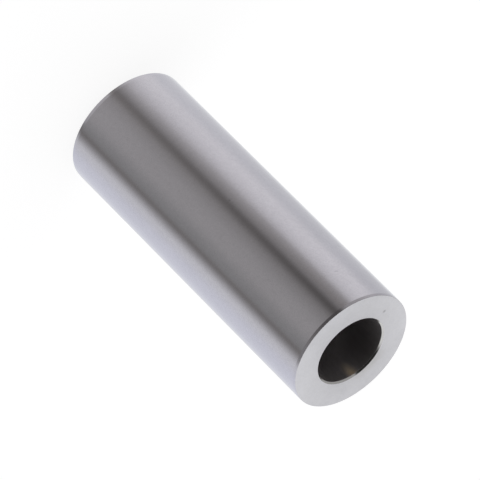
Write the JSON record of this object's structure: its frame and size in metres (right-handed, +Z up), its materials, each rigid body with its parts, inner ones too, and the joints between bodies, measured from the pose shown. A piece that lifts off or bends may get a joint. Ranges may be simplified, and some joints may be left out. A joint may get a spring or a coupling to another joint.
{
  "type": "piston pin",
  "caption": "Hollow steel piston pin: a plain ground tube with flat ends, a through bore and eased edges, which hinges a connecting rod to its piston.",
  "frame": {"origin": "centre of the lower end face, where the pin's axis meets the surface that it stands on", "axes": "+Z up along the pin's axis, from the lower end to the upper end; X and Y square to it, in any direction, because the pin is round"},
  "size_m": [0.02, 0.02, 0.0548],
  "materials": {
    "ground_steel": "outside ground and superfinished, end faces fine ground, bore as machined and darker"
  },
  "bodies": {
    "root": {"piston_pin": "ground_steel"}
  },
  "joints": []
}
